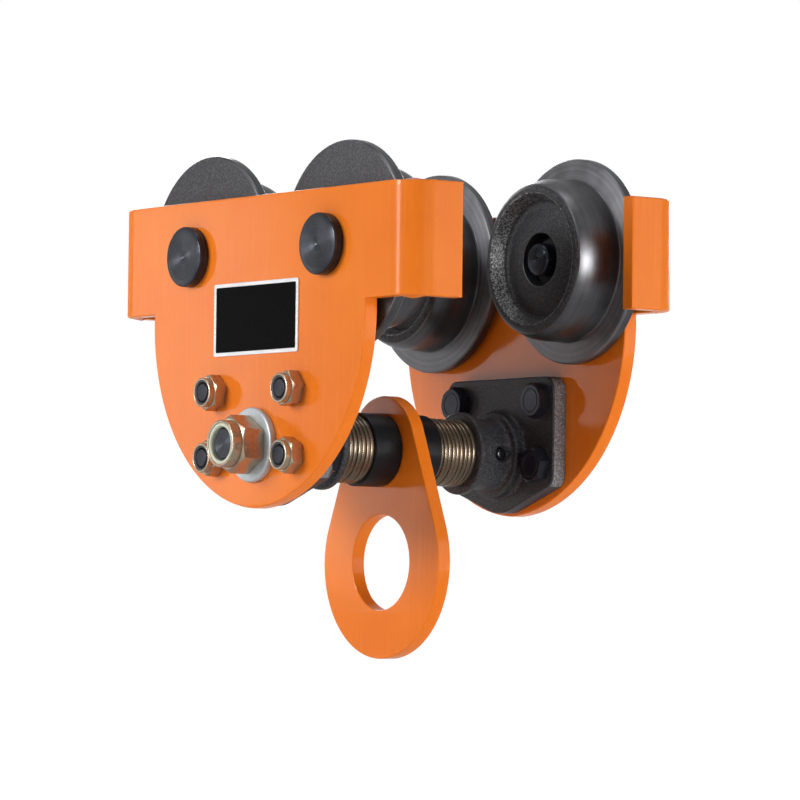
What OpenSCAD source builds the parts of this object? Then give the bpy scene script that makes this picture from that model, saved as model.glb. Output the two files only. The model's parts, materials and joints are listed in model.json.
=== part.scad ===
// Manual beam trolley, all sizes in mm.
// X runs along the beam, Y along the crossbar, Z up. Z = 0 is the running surface of the beam's lower
// flange, where the wheel treads touch it, and X = Y = 0 is the middle of the trolley.

/* [Side plates] */

// Length of a side plate over its bent ends
plate_length = 300; // [290:1:330]

// Thickness of the side plates
plate_thickness = 9; // [8:0.5:10]

// Distance between the inner faces of the two side plates
plate_gap = 182; // [178:1:200]

// Height of the upper bar of a side plate and of its bent ends
bar_height = 66; // [60:1:70]

// How far a bent end reaches in from the outer face
ear_length = 38; // [34:1:42]

// Outer radius of the bends
bend_radius = 18; // [16:0.5:20]

// Width of the round lower part of a side plate
lobe_width = 216; // [206:1:222]

// How much smaller half the width is than the radius of the lower part
lobe_narrowing = 5; // [3:0.5:6]

// Depth of the lower part below the upper bar
lobe_depth = 118.4; // [117:0.2:122]

/* [Wheels] */

// Distance between the two wheel axles on a side plate
wheel_spacing = 137; // [132:1:140]

// Diameter of the wheel flange
flange_diameter = 123; // [116:1:126]

// Thickness of the wheel flange at its rim
flange_thickness = 7; // [6:0.5:8]

// Largest diameter of the tread
tread_diameter = 97; // [94:1:100]

// Width of a wheel without its flange
tread_width = 30; // [29:0.5:33]

// Gap between a side plate and the wheel flange
wheel_gap = 3.5; // [3:0.5:4]

// Diameter of the wheel face inside its rounded edge
face_diameter = 86; // [84:1:88]

// Diameter of the recess at the wheel face
recess_diameter = 77; // [74:1:79]

// Diameter of the floor of the recess
recess_floor = 63; // [60:1:64]

// Depth of the recess at the foot of its wall
recess_depth = 9.3; // [8.5:0.1:10]

// How far the middle of the web stands up from the foot of the recess
web_rise = 2.5; // [1.5:0.1:3]

// Diameter of the hole in the middle of the recess
centre_hole = 32; // [30:1:33]

// Thickness of the wheel's web between the foot of the recess and the bearing
wheel_web = 5.7; // [5:0.1:6.5]

/* [Axles and bearings] */

// Diameter of the axle pins, as the bore of the bearing
axle_diameter = 17; // [15:0.5:17]

// Diameter of the pin heads outside the plates
pin_head_diameter = 36; // [32:1:40]

// Height of the pin heads
pin_head_height = 6.4; // [5:0.2:8]

// Diameter of the peened inner ends of the pins
peened_diameter = 19.5; // [18.5:0.5:21]

// Length of the peened inner ends
peened_length = 10.8; // [8:0.2:11]

// Outer diameter of the wheel bearings
bearing_diameter = 47; // [44:1:47]

// Width of the wheel bearings
bearing_width = 14; // [13:0.5:15]

// Diameter of the spacer sleeves between plate and bearing
spacer_diameter = 25; // [23:0.5:26]

/* [Crossbar] */

// Distance from the wheel axles down to the crossbar
crossbar_drop = 114.2; // [113:0.2:118]

// Diameter of the crossbar
crossbar_diameter = 25; // [24:0.5:26]

// Thread diameter at the ends of the crossbar
end_thread = 20; // [18:1:20]

// Length of each threaded end beyond the plate
end_length = 22.5; // [22:0.5:28]

// Diameter of the washers under the end nuts
end_washer_diameter = 44; // [40:1:48]

// Thickness of the washers under the end nuts
end_washer_thickness = 4; // [3:0.5:4]

// Width across the flats of the end nuts
end_nut_flats = 30; // [30:0.5:32]

// Height of the end nuts with their nylon collar
end_nut_height = 21; // [20:0.5:21]

/* [Adjusting washers and collars] */

// Number of adjusting washers in the front stack
washers_front = 7; // [4:1:9]

// Number of adjusting washers in the back stack
washers_back = 9; // [4:1:9]

// Thickness of one adjusting washer
washer_thickness = 3; // [2:0.5:3]

// Diameter of the adjusting washers
washer_diameter = 41; // [38:1:42]

// Diameter of the collars beside the eye plate
collar_diameter = 44; // [42:1:46]

/* [Eye plate] */

// Thickness of the eye plate
eye_thickness = 9; // [8:0.5:10]

// Distance from the crossbar to the middle of the eye
eye_drop = 67; // [64:1:72]

// Diameter of the eye
eye_bore = 57; // [50:1:60]

// Outer diameter of the eye plate round the eye
eye_outer = 115; // [108:1:118]

// Outer diameter of the eye plate round the crossbar
eye_top = 65; // [60:1:70]

/* [Hubs] */

// Width of the hub flange
hub_width = 106; // [104:1:110]

// Height of the hub flange above the crossbar
hub_rise = 46.5; // [45:0.5:47]

// Depth of the tip of the hub flange below the crossbar
hub_tip = 35.5; // [34:0.5:36]

// Depth of the lower side corners of the hub flange below the crossbar
hub_corner = 19; // [18:0.5:22]

// Thickness of the hub flange
hub_flange = 10; // [9:0.5:11]

// Height of the whole hub above the side plate
hub_height = 42.5; // [42:0.5:43]

// Diameter of the base ring of the hub boss
base_diameter = 52; // [50:1:52]

// Height of the base ring
base_height = 7; // [6:0.5:8]

// Diameter of the neck of the hub
neck_diameter = 43; // [40:1:44]

// Diameter of the end lip of the hub
lip_diameter = 50; // [49:1:52]

// Width of the end lip
lip_width = 5; // [4:0.5:6]

// Diameter of the hub bolts
bolt_diameter = 12; // [10:1:12]

// Distance between the hub bolts along the beam
bolt_spacing_x = 79; // [78:1:82]

// Height of the upper hub bolts above the crossbar
bolt_upper = 31.8; // [30:0.2:33]

// Depth of the lower hub bolts below the crossbar
bolt_lower = 7; // [6:0.5:8]

// Width across the flats of the hub bolts and nuts
bolt_flats = 19; // [18:0.5:19]

// Diameter of the lock screws in the necks
lock_screw = 8; // [6:0.5:8]

/* [Label] */

// Length of the label
label_length = 86; // [70:1:90]

// Height of the label
label_height = 43; // [36:1:44]

// Height of the label's middle above the crossbar
label_rise = 74.8; // [70:0.2:78]

// Thickness of the label with its raised border
label_thickness = 0.8; // [0.6:0.1:1]

// Width of the raised border of the label
label_border = 2.2; // [1.5:0.1:3]

/* [Clearances] */

// Radial clearance between a turning part and its pin
turning_clearance = 0.06; // [0.04:0.01:0.08]

// Radial clearance between a still part and the shaft or bolt in it
loose_clearance = 0.15; // [0.1:0.05:0.2]

// Gap beside a turning part
side_gap = 0.3; // [0.2:0.1:0.5]

// Play on each side of the eye plate
eye_play = 0.5; // [0.3:0.1:0.8]

/* [Hidden] */

$fn = 72;

// The quarter turns that lay a profile's second axis along -Y and +Y
to_front = [90, 0, 0];
to_back = [-90, 0, 0];

inner_y = plate_gap / 2;
outer_y = inner_y + plate_thickness;
half_length = plate_length / 2;
axle_z = tread_diameter / 2;
axle_x = wheel_spacing / 2;
bar_top = axle_z + bar_height / 2;
bar_bottom = axle_z - bar_height / 2;
shaft_z = axle_z - crossbar_drop;
shaft_r = crossbar_diameter / 2;

lobe_radius = lobe_width / 2 + lobe_narrowing;
lobe_z = bar_bottom - lobe_depth + sqrt(lobe_radius * lobe_radius - lobe_narrowing * lobe_narrowing);
// How far the lower part reaches up into the bar, to be one with it
lobe_overlap = 4;

// Wheel stations, measured from the back of the flange towards the middle of the trolley
flange_y = inner_y - wheel_gap;
wheel_width = flange_thickness + tread_width;
bearing_start = wheel_width - recess_depth - wheel_web - bearing_width;
bearing_end = bearing_start + bearing_width;
bearing_y = flange_y - bearing_start;
bearing_r = bearing_diameter / 2;
ring_width = 1.6;
bearing_seat = bearing_r + 0.02;

// Crossbar stations
lip_y = inner_y - hub_height;
bar_end_y = outer_y + end_length;
shoulder_y = outer_y - 0.5;
neck_top_y = lip_y + lip_width;
base_y = inner_y - hub_flange - base_height;
screw_y = neck_top_y + (base_y - neck_top_y) * 0.7;
front_stack = washers_front * washer_thickness;
back_stack = washers_back * washer_thickness;
// The two collars fill what the washers and the eye plate leave between the hubs
collar_length = (2 * lip_y - front_stack - back_stack - eye_thickness) / 2 - eye_play;
front_collar_y = -lip_y + front_stack;
back_collar_y = lip_y - back_stack - collar_length;
eye_y = front_collar_y + collar_length + eye_play + eye_thickness / 2;

// How far the label's border stands above its face
border_height = 0.2;

bolt_r = bolt_diameter / 2;
bolt_head = 7.5;
bolt_nut_height = 11.6;
bolt_end = 11;
bolt_x = bolt_spacing_x / 2;
// Where the four hub bolts sit, with the turn of each nut
bolt_places = [[-bolt_x, bolt_upper, -11], [bolt_x, bolt_upper, -20], [-bolt_x, -bolt_lower, 8], [bolt_x, -bolt_lower, 5]];

paint = [0.95, 0.45, 0.12];
black = [0.1, 0.1, 0.11];
dark = [0.16, 0.17, 0.2];
cast = [0.13, 0.13, 0.14];
gold = [0.72, 0.58, 0.32];
silver = [0.75, 0.76, 0.78];
cream = [0.88, 0.88, 0.78];
steel = [0.5, 0.5, 0.52];

// Points of an arc, from one angle to another
function arc(x, y, r, a, b, n) = [for (i = [0:n]) [x + r * cos(a + (b - a) * i / n), y + r * sin(a + (b - a) * i / n)]];

// Points of the rounded corner q of a convex outline that comes from p and goes on to s
function corner(p, q, s, r, n) =
    let (u = (p - q) / norm(p - q),
         v = (s - q) / norm(s - q),
         h = acos(u * v) / 2,
         w = (u + v) / norm(u + v),
         c = q + w * r / sin(h),
         m = atan2(-w[1], -w[0]),
         turn = (u[0] * v[1] - u[1] * v[0]) > 0 ? -1 : 1)
    [for (i = [0:n]) let (a = m + turn * (90 - h) * (2 * i / n - 1)) c + r * [cos(a), sin(a)]];

// Everything is drawn for the back side and mirrored for the front
module on_side(front) {
    if (front) mirror([0, 1, 0]) children();
    else children();
}

// A turned shape from a profile of radius and distance towards the middle of the trolley, starting at y
module turned(x, y, z, profile) {
    translate([x, y, z]) rotate(to_front) rotate_extrude() polygon(profile);
}

// A turned shape whose profile runs outwards from y
module turned_out(x, y, z, profile) {
    translate([x, y, z]) rotate(to_back) rotate_extrude() polygon(profile);
}

// A round hole along Y between two stations
module y_hole(x, z, r, y0, y1) {
    translate([x, y0, z]) rotate(to_back) cylinder(r = r, h = y1 - y0);
}

// A flat shape drawn in X and Z, from y0 outwards to y1
module y_plate(y0, y1) {
    translate([0, y1, 0]) rotate(to_front) linear_extrude(y1 - y0) children();
}

module bar_box(x0, x1, y0, y1) {
    translate([x0, y0, bar_bottom]) cube([x1 - x0, y1 - y0, bar_height]);
}

module bend(sign) {
    inner = bend_radius - plate_thickness;
    translate([sign * (half_length - bend_radius), outer_y - bend_radius, bar_bottom])
        rotate([0, 0, sign > 0 ? 0 : 90]) rotate_extrude(angle = 90)
            translate([inner, 0]) square([plate_thickness, bar_height]);
}

// Upper bar with bent ends and a round lower part, drilled for the pins, the hub bolts and the crossbar
module side_plate(front) {
    color(paint) on_side(front) difference() {
        union() {
            bar_box(-(half_length - bend_radius), half_length - bend_radius, inner_y, outer_y);
            bend(1);
            bend(-1);
            bar_box(half_length - plate_thickness, half_length, outer_y - ear_length, outer_y - bend_radius);
            bar_box(-half_length, plate_thickness - half_length, outer_y - ear_length, outer_y - bend_radius);
            y_plate(inner_y, outer_y) intersection() {
                translate([-lobe_narrowing, lobe_z]) circle(r = lobe_radius);
                translate([lobe_narrowing, lobe_z]) circle(r = lobe_radius);
                translate([-lobe_radius, bar_bottom + lobe_overlap - 2 * lobe_radius]) square(2 * lobe_radius);
            }
        }
        for (x = [-axle_x, axle_x])
            y_hole(x, axle_z, axle_diameter / 2 + loose_clearance, inner_y - 1, outer_y + 1);
        for (b = bolt_places)
            y_hole(b[0], shaft_z + b[1], bolt_r + 0.5, inner_y - 1, outer_y + 1);
        y_hole(0, shaft_z, shaft_r + loose_clearance, inner_y - 1, outer_y + 1);
    }
}

module label_plate() {
    t = label_thickness;
    z0 = shaft_z + label_rise - label_height / 2;
    color(black) difference() {
        translate([-label_length / 2, -outer_y - t, z0]) cube([label_length, t, label_height]);
        translate([label_border - label_length / 2, -outer_y - t - 1, z0 + label_border])
            cube([label_length - 2 * label_border, 1 + border_height, label_height - 2 * label_border]);
    }
}

// Flanged wheel with a crowned tread, a recessed face and a seat for its bearing
module wheel(front, x) {
    f = flange_diameter / 2;
    tr = tread_diameter / 2;
    fr = face_diameter / 2;
    w = wheel_width;
    // Radii of the rim's two edges, the root of the flange, the shoulder of the tread, and the recess
    rim = 1.2;
    rim_inside = 1.6;
    root_fillet = 1.6;
    shoulder = 5.6;
    mouth = 0.8;
    floor_fillet = 2.2;
    // The crown is an arc of this radius, highest a third of the way in from the flange
    crown = tread_width * 3;
    top = flange_thickness + tread_width * 0.34;
    edge = w - shoulder - 0.4;
    edge_r = tr - crown + sqrt(crown * crown - (edge - top) * (edge - top));
    foot = w - recess_depth;
    web = foot + web_rise;
    hole = centre_hole / 2;
    root = flange_thickness + 1;
    groove = bearing_seat + 1.1;
    profile = concat(
        [[bearing_seat, 0]],
        arc(f - rim, rim, rim, -90, 0, 3),
        arc(f - rim_inside, flange_thickness - rim_inside, rim_inside, 0, 84, 4),
        [[tr + 5.5, root - 0.4]],
        arc(tr + root_fillet - 0.4, root + root_fillet - 0.3, root_fillet, -90, -165, 5),
        [for (i = [0:6]) let (u = top + (edge - top) * i / 6) [tr - crown + sqrt(crown * crown - (u - top) * (u - top)), u]],
        arc(edge_r - shoulder, edge, shoulder, 12, 66, 5),
        [[fr, w]],
        arc(recess_diameter / 2 + mouth, w - mouth, mouth, 90, 160, 3),
        arc(recess_floor / 2 + 2, foot + floor_fillet, floor_fillet, -35, -90, 3),
        [[hole + 4, web], [hole + 0.6, web], [hole, web - 0.6], [hole, bearing_end], [bearing_seat, bearing_end],
         [bearing_seat, bearing_start], [groove, bearing_start], [groove, bearing_start - ring_width - 0.1],
         [bearing_seat, bearing_start - ring_width - 0.1]]);
    color(cast) on_side(front) turned(x, flange_y, axle_z, profile);
}

// Sealed ball bearing: outer race, shields set back a little, inner race
module bearing(front, x) {
    a = axle_diameter / 2 + turning_clearance;
    b = bearing_r;
    p = (b - a) / 3.2;
    s = 0.7;
    w = bearing_width;
    profile = [[a, 0.4], [a + 0.4, 0], [a + p, 0], [a + p, s], [b - p, s], [b - p, 0], [b - 0.5, 0], [b, 0.5],
               [b, w - 0.5], [b - 0.5, w], [b - p, w], [b - p, w - s], [a + p, w - s], [a + p, w], [a + 0.4, w], [a, w - 0.4]];
    color(steel) on_side(front) turned(x, bearing_y, axle_z, profile);
}

// Open ring in the groove in front of the bearing
module retaining_ring(front, x) {
    color(steel) on_side(front) difference() {
        turned(x, bearing_y + ring_width, axle_z,
               [[bearing_r - 3, 0], [bearing_r + 0.8, 0], [bearing_r + 0.8, ring_width], [bearing_r - 3, ring_width]]);
        translate([x - 4, bearing_y - 1, axle_z]) cube([8, ring_width + 2, bearing_r + 5]);
    }
}

// Axle pin with a wide head outside the plate and a peened end behind the bearing
module axle(front, x) {
    r = axle_diameter / 2;
    h = pin_head_diameter / 2;
    p = peened_diameter / 2;
    // Stations outwards from the peened end
    peen_y = bearing_y - bearing_width - side_gap;
    tip = peened_length;
    head = outer_y - peen_y + tip;
    // The centre mark of the lathe in the peened end
    mark = [[0, 2.4], [1.2, 1.6], [1.8, 0.4], [2.6, 0]];
    profile = concat(
        mark,
        [[p - 2.2, 0.2], [p - 0.8, 0.7], [p, 2], [p, tip], [r, tip], [r, head], [h, head]],
        arc(h - 1, head + pin_head_height - 1, 1, 0, 90, 3),
        [[0, head + pin_head_height]]);
    color(dark) on_side(front) turned_out(x, peen_y - tip, axle_z, profile);
}

module spacer(front, x) {
    r = axle_diameter / 2 + loose_clearance;
    s = spacer_diameter / 2;
    h = inner_y - bearing_y - side_gap;
    color(steel) on_side(front) turned(x, inner_y, axle_z, [[r, 0], [s, 0], [s, h - 0.8], [s - 0.8, h], [r, h]]);
}

// Outline of the hub flange with the crossbar at its origin
function hub_outline() =
    let (w = hub_width / 2,
         a = [w, hub_rise], b = [-w, hub_rise], c = [-w, -hub_corner], d = [0, -hub_tip - 1.9], e = [w, -hub_corner])
    concat(corner(e, a, b, 9, 8), corner(a, b, c, 9, 8), corner(b, c, d, 9, 6), corner(c, d, e, 34, 6),
           corner(d, e, a, 9, 6));

// Cast hub: flange on the side plate, stepped boss round the crossbar, drilled for bolts and lock screw
module hub(front) {
    base = base_diameter / 2;
    neck = neck_diameter / 2;
    lip = lip_diameter / 2;
    bore = shaft_r + loose_clearance;
    f = hub_flange;
    g = f + base_height;
    n = hub_height - lip_width;
    h = hub_height;
    boss = concat(
        [[bore, f / 2], [base + 2, f / 2], [base + 2, f]],
        arc(base + 2, f + 2, 2, -90, -180, 4),
        arc(base - 1.2, g - 1.2, 1.2, 0, 90, 3),
        arc(neck + 2, g + 2, 2, -90, -180, 3),
        arc(neck + 1.5, n - 1.5, 1.5, 180, 90, 3),
        arc(lip - 1, n + 1, 1, -90, 0, 3),
        arc(lip - 1.2, h - 1.2, 1.2, 0, 90, 3),
        [[bore, h]]);
    color(cast) on_side(front) difference() {
        union() {
            translate([0, 0, shaft_z]) y_plate(inner_y - f, inner_y) polygon(hub_outline());
            turned(0, inner_y, shaft_z, boss);
        }
        y_hole(0, shaft_z, bore, inner_y - h - 1, inner_y + 1);
        for (b = bolt_places)
            y_hole(b[0], shaft_z + b[1], bolt_r + 0.5, inner_y - f - 1, inner_y + 1);
        translate([0, screw_y, shaft_z]) rotate([0, 90, 0]) cylinder(r = lock_screw / 2 + 0.05, h = neck + 4);
        translate([neck - 2.6, screw_y, shaft_z]) rotate([0, 90, 0]) cylinder(r = lock_screw / 2 + 1.2, h = 6);
    }
}

// Lock screw with a domed end outside and a point in a pocket of the crossbar
module lock_screw(front) {
    r = lock_screw / 2;
    x0 = shaft_r - 1.2;
    x1 = shaft_r + 0.5;
    x2 = neck_diameter / 2 - 1.8;
    profile = concat([[0, x0], [r - 1.4, x0], [r - 1.2, x1], [r - 0.4, x1], [r, x1 + 0.4]],
                     [[r, x2 - 1.6]], [for (a = [15:15:90]) [r * cos(a), x2 - 1.6 + 2.2 * sin(a)]]);
    color(steel) on_side(front) translate([0, screw_y, shaft_z]) rotate([0, 90, 0]) rotate_extrude() polygon(profile);
}

// Hexagon from z = 0 up, with its corners chamfered at the top
module hex_body(flats, height) {
    corner_r = flats / 2 / cos(30) + 0.01;
    flat_r = flats / 2 - 0.25;
    chamfer = (corner_r - flat_r) * tan(30);
    intersection() {
        cylinder(r = flats / 2 / cos(30), h = height, $fn = 6);
        rotate_extrude() polygon([[0, 0], [corner_r, 0], [corner_r, height - chamfer], [flat_r, height], [0, height]]);
    }
}

module hub_bolts(front) {
    start = inner_y - hub_flange;
    len = outer_y + bolt_end - start;
    color(dark) on_side(front) for (b = bolt_places) translate([b[0], start, shaft_z + b[1]]) union() {
        rotate(to_front) rotate([0, 0, b[2] + 14]) hex_body(bolt_flats, bolt_head);
        rotate(to_back) rotate_extrude()
            polygon([[0, -1], [bolt_r, -1], [bolt_r, len - 1.2], [bolt_r - 1.2, len], [0, len]]);
    }
}

// Self-locking nut from y = 0 outwards, with a collar that is rolled in over the nylon ring
module lock_nut(flats, height, thread, turn) {
    body = height * 0.7;
    out = flats * 0.465;
    wall = max(1.1, flats * 0.05);
    seat = out - wall;
    hole = thread / 2 + 0.05;
    difference() {
        union() {
            rotate([0, 0, turn]) hex_body(flats, body);
            rotate_extrude()
                polygon(concat([[0, 0.5], [out, 0.5], [out, height - 1.4]],
                               arc(out - 1, height - 1, 1, 15, 90, 4), [[0, height]]));
        }
        translate([0, 0, -1]) cylinder(r = hole, h = height + 2);
        translate([0, 0, height * 0.76]) cylinder(r = seat, h = height * 0.24 - 0.7);
        translate([0, 0, height - 1]) cylinder(r = seat - 0.6, h = 2);
    }
}

// Nylon ring inside the collar of a self-locking nut
module nut_insert(flats, height, thread) {
    out = flats * 0.465;
    seat = out - max(1.1, flats * 0.05);
    hole = thread / 2 + 0.05;
    low = height * 0.76;
    rotate_extrude() polygon([[hole, low], [seat, low], [seat, height - 0.7], [seat - 0.7, height - 0.7],
                              [seat - 0.7, height - 0.4], [hole + 0.4, height - 0.4], [hole, height - 0.8]]);
}

module hub_nuts(front) {
    color(gold) on_side(front) for (b = bolt_places) translate([b[0], outer_y, shaft_z + b[1]])
        rotate(to_back) lock_nut(bolt_flats, bolt_nut_height, bolt_diameter, -b[2]);
}

module hub_nut_inserts(front) {
    color(dark) on_side(front) for (b = bolt_places) translate([b[0], outer_y, shaft_z + b[1]])
        rotate(to_back) nut_insert(bolt_flats, bolt_nut_height, bolt_diameter);
}

// Crossbar with threaded ends and a pocket for each lock screw
module crossbar() {
    r = shaft_r;
    t = end_thread / 2;
    s = shoulder_y;
    e = bar_end_y;
    profile = [[0, -e], [t - 1.5, -e], [t, 1.5 - e], [t, -s], [r - 0.8, -s], [r, 0.8 - s], [r, s - 0.8], [r - 0.8, s],
               [t, s], [t, e - 1.5], [t - 1.5, e], [0, e]];
    color(dark) difference() {
        translate([0, 0, shaft_z]) rotate(to_back) rotate_extrude() polygon(profile);
        for (y = [-screw_y, screw_y])
            translate([r - 1.3, y, shaft_z]) rotate([0, 90, 0]) cylinder(r = lock_screw / 2 - 0.9, h = 4);
    }
}

module end_washer(front) {
    d = end_washer_diameter / 2;
    t = end_washer_thickness;
    b = end_thread / 2 + 0.5;
    color(silver) on_side(front)
        turned_out(0, outer_y, shaft_z, [[b, 0], [d - 0.4, 0], [d, 0.4], [d, t - 0.8], [d - 0.8, t], [b, t]]);
}

module end_nut(front) {
    color(gold) on_side(front) translate([0, outer_y + end_washer_thickness, shaft_z])
        rotate(to_back) lock_nut(end_nut_flats, end_nut_height, end_thread, 30);
}

module end_nut_insert(front) {
    color(cream) on_side(front) translate([0, outer_y + end_washer_thickness, shaft_z])
        rotate(to_back) nut_insert(end_nut_flats, end_nut_height, end_thread);
}

// A row of thin washers with softened rims, from y towards the middle
module washer_row(y, count) {
    r = washer_diameter / 2;
    b = shaft_r + loose_clearance;
    t = washer_thickness;
    for (i = [0:count - 1])
        turned(0, y - i * t, shaft_z,
               [[b, 0], [r - 0.7, 0], [r, 0.7], [r, t - 0.7], [r - 0.7, t], [b, t]]);
}

module adjusting_washers(front) {
    color(gold) on_side(front) washer_row(lip_y, front ? washers_front : washers_back);
}

// Collar from y outwards along the crossbar
module collar(y) {
    r = collar_diameter / 2;
    b = shaft_r + loose_clearance;
    n = collar_length;
    color(black) turned_out(0, y, shaft_z, [[b, 0], [r - 0.8, 0], [r, 0.8], [r, n - 0.8], [r - 0.8, n], [b, n]]);
}

// Drop-shaped plate that swings on the crossbar and takes the load's hook
module eye_plate() {
    a = eye_top / 2;
    b = eye_outer / 2;
    s = (b - a) / eye_drop;
    c = sqrt(1 - s * s);
    color(paint) translate([0, eye_y + eye_thickness / 2, shaft_z]) rotate(to_front) linear_extrude(eye_thickness)
        difference() {
            union() {
                circle(r = a);
                translate([0, -eye_drop]) circle(r = b);
                polygon([[-a * c, a * s], [-b * c, b * s - eye_drop], [b * c, b * s - eye_drop], [a * c, a * s]]);
            }
            circle(r = shaft_r + turning_clearance);
            translate([0, -eye_drop]) circle(r = eye_bore / 2);
        }
}

side_plate(true);  // side_plate_front
side_plate(false);  // side_plate_back
label_plate();
wheel(true, -axle_x);  // wheel_front_left
wheel(true, axle_x);  // wheel_front_right
wheel(false, -axle_x);  // wheel_back_left
wheel(false, axle_x);  // wheel_back_right
bearing(true, -axle_x);  // bearing_front_left
bearing(true, axle_x);  // bearing_front_right
bearing(false, -axle_x);  // bearing_back_left
bearing(false, axle_x);  // bearing_back_right
retaining_ring(true, -axle_x);  // retaining_ring_front_left
retaining_ring(true, axle_x);  // retaining_ring_front_right
retaining_ring(false, -axle_x);  // retaining_ring_back_left
retaining_ring(false, axle_x);  // retaining_ring_back_right
axle(true, -axle_x);  // axle_front_left
axle(true, axle_x);  // axle_front_right
axle(false, -axle_x);  // axle_back_left
axle(false, axle_x);  // axle_back_right
spacer(true, -axle_x);  // spacer_front_left
spacer(true, axle_x);  // spacer_front_right
spacer(false, -axle_x);  // spacer_back_left
spacer(false, axle_x);  // spacer_back_right
hub(true);  // hub_front
hub(false);  // hub_back
hub_bolts(true);  // hub_bolts_front
hub_bolts(false);  // hub_bolts_back
hub_nuts(true);  // hub_nuts_front
hub_nuts(false);  // hub_nuts_back
hub_nut_inserts(true);  // hub_nut_inserts_front
hub_nut_inserts(false);  // hub_nut_inserts_back
lock_screw(true);  // lock_screw_front
lock_screw(false);  // lock_screw_back
crossbar();
end_washer(true);  // end_washer_front
end_washer(false);  // end_washer_back
end_nut(true);  // end_nut_front
end_nut(false);  // end_nut_back
end_nut_insert(true);  // end_nut_insert_front
end_nut_insert(false);  // end_nut_insert_back
adjusting_washers(true);  // adjusting_washers_front
adjusting_washers(false);  // adjusting_washers_back
collar(front_collar_y);  // collar_front
collar(back_collar_y);  // collar_back
eye_plate();
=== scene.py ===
"""Studio scene of a manual beam trolley, in metres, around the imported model.

X runs along the beam, Y along the crossbar and Z up. The side with the label faces -Y. Most pieces
are drawn for the +Y side, with distances measured from a station on the Y axis, and mirrored for -Y.
"""

import json
import math

import bmesh
import bpy
from mathutils import Matrix, Vector

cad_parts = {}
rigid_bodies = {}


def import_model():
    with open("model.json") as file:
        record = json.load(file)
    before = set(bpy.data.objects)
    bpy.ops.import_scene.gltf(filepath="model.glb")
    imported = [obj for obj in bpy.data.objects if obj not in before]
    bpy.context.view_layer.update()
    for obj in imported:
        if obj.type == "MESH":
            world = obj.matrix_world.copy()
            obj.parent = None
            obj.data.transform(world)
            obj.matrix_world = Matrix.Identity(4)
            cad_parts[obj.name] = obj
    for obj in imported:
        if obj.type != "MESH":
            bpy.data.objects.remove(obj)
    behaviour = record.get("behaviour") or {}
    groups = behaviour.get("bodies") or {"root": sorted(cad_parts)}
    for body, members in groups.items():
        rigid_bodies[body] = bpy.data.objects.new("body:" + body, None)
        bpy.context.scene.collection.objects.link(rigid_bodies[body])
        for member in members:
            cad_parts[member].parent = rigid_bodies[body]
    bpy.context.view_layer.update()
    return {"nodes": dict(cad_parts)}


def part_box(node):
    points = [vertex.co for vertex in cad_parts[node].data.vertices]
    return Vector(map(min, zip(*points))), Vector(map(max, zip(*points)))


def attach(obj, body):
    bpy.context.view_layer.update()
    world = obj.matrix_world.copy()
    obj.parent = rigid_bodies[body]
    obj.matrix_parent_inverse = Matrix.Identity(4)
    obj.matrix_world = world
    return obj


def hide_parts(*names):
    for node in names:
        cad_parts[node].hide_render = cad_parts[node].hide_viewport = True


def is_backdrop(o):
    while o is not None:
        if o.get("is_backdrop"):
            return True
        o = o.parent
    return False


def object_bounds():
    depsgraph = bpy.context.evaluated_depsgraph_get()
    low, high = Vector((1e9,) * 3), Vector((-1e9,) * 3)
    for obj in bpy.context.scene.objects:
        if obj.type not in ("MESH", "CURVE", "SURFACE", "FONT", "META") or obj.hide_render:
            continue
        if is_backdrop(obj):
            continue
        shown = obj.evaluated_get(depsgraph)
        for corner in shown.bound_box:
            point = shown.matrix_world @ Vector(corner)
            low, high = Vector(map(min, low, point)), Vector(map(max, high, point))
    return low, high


MM = 0.001


class Thread:
    """The sizes of a screw thread. The chamfer is at its outer end."""

    def __init__(self, radius, pitch, depth, chamfer):
        self.radius = radius
        self.pitch = pitch
        self.depth = depth
        self.chamfer = chamfer


# Camera, found from the outlines of the plates, wheels and eye in the photograph
CAMERA_AZIMUTH = 53.467
CAMERA_ELEVATION = -2.900
CAMERA_ROLL = 0.686
CAMERA_DISTANCE = 2962.5 * MM
CAMERA_TARGET = Vector((7.68, 0, -35.56)) * MM
FOCAL_PIXELS = 4956.8
FRAME_PIXELS = 800
SENSOR = 36

# Side plates. These sizes, and those of the pieces below, aren't in the nodes' boxes
BEND_RADIUS = 18 * MM
LOBE_RADIUS = 113 * MM
LOBE_NARROWING = 5 * MM
PLATE_EDGE = 0.9 * MM
BEND_BULGE = 1.9 * MM
BULGE_REACH = 9 * MM
BULGE_BALANCE = 0.25
BEND_CUTS = 24
CUTS_BEYOND_BEND = 3
AXLE_HOLE = 8.65 * MM

# Hubs and their bolts. The turns are in degrees, by column and row
HUB_FLANGE = 10 * MM
HUB_SIDE_DEPTH = 9 * MM
HUB_VOXEL = 0.75 * MM
LEAST_SIDEWAYS = 0.55
BOLT_X = 39.5 * MM
BOLTS_ABOVE = 31.8 * MM
BOLTS_BELOW = 7 * MM
BOLT_THREAD = Thread(radius=6 * MM, pitch=1.75 * MM, depth=0.9 * MM, chamfer=1.1 * MM)
BOLT_HOLE = 6.5 * MM
BOLT_FLATS = 19 * MM
BOLT_TURNS = {(-1, 1): -11, (1, 1): -20, (-1, -1): 8, (1, -1): 5}
HEAD_TURN = 14

# Self-locking nuts. Shares of the width across flats, and of the height
NUT_COLLAR = 0.465
NUT_WALL = 0.05
NUT_LEAST_WALL = 1.1 * MM
NUT_HEXAGON = 0.7
NUT_COLLAR_TOP = 0.72
NUT_INSERT_FOOT = 0.76
NUT_GAP = 0.05 * MM

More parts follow.
